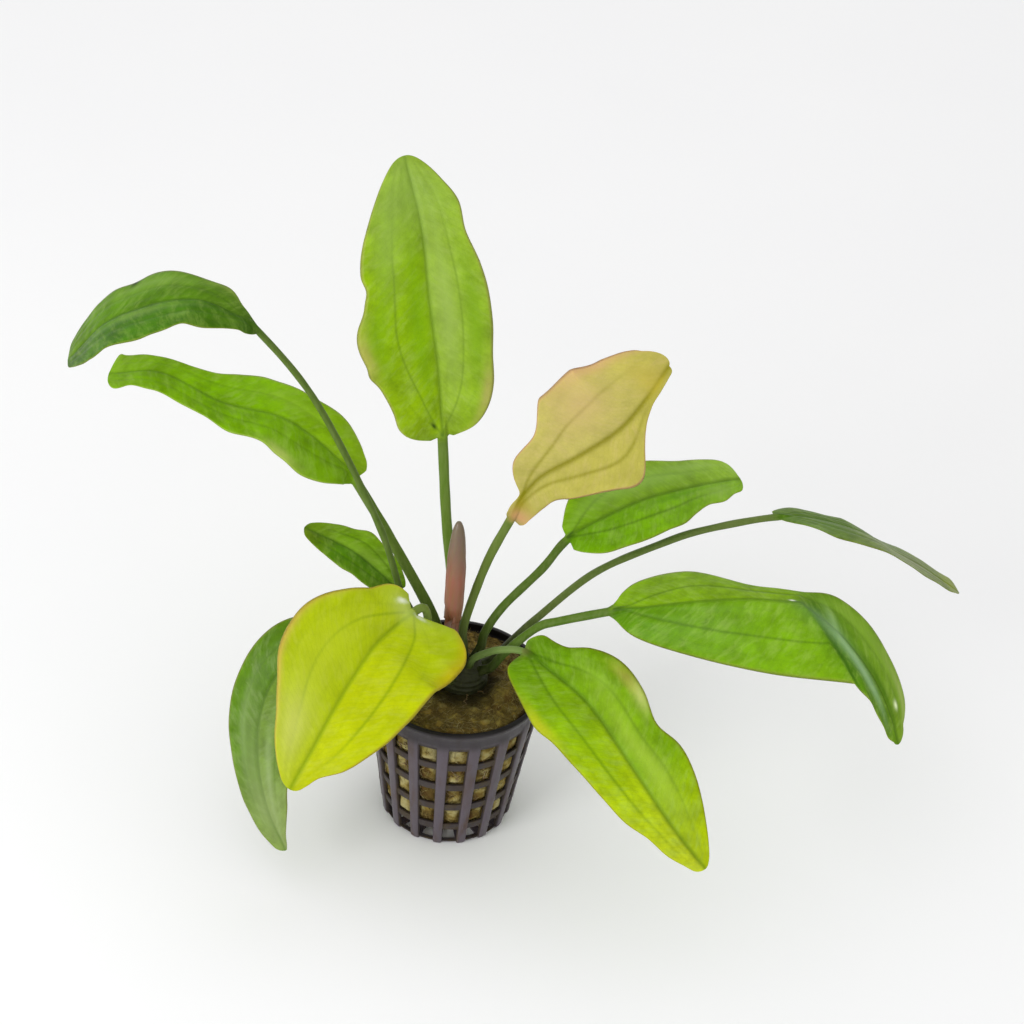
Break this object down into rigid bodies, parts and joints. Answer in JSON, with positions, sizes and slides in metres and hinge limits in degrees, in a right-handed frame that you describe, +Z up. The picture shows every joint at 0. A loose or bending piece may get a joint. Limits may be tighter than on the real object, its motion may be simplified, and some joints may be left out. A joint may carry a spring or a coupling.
{
  "type": "potted amazon sword plant",
  "caption": "Rosette of broad pointed leaves on long arching stalks, growing from a crown in a rock wool plug that sits in a slotted net pot.",
  "frame": {"origin": "centre of the pot's flat bottom, on the surface the pot stands on", "axes": "+Z up along the pot's axis, -Y towards the side seen in the picture, +X along the plant's longest spread, to the right in the picture"},
  "size_m": [0.2572, 0.1164, 0.1881],
  "materials": {
    "pot_plastic": "satin",
    "rock_wool": "matte",
    "crown_tissue": "satin",
    "leaf_green": "gloss",
    "leaf_khaki": "satin",
    "leaf_rose": "satin"
  },
  "bodies": {
    "root": {"net_pot": "pot_plastic", "rock_wool_plug": "rock_wool", "crown": "crown_tissue", "leaf_upper_left": "leaf_green", "leaf_left": "leaf_green", "leaf_tall": "leaf_green", "leaf_yellow": "leaf_khaki", "leaf_back_right": "leaf_green", "leaf_far_right": "leaf_green", "leaf_right": "leaf_green", "leaf_front_right": "leaf_green", "leaf_front_left": "leaf_green", "leaf_low_left": "leaf_green", "leaf_small_left": "leaf_green", "young_leaf": "leaf_rose"}
  },
  "joints": []
}
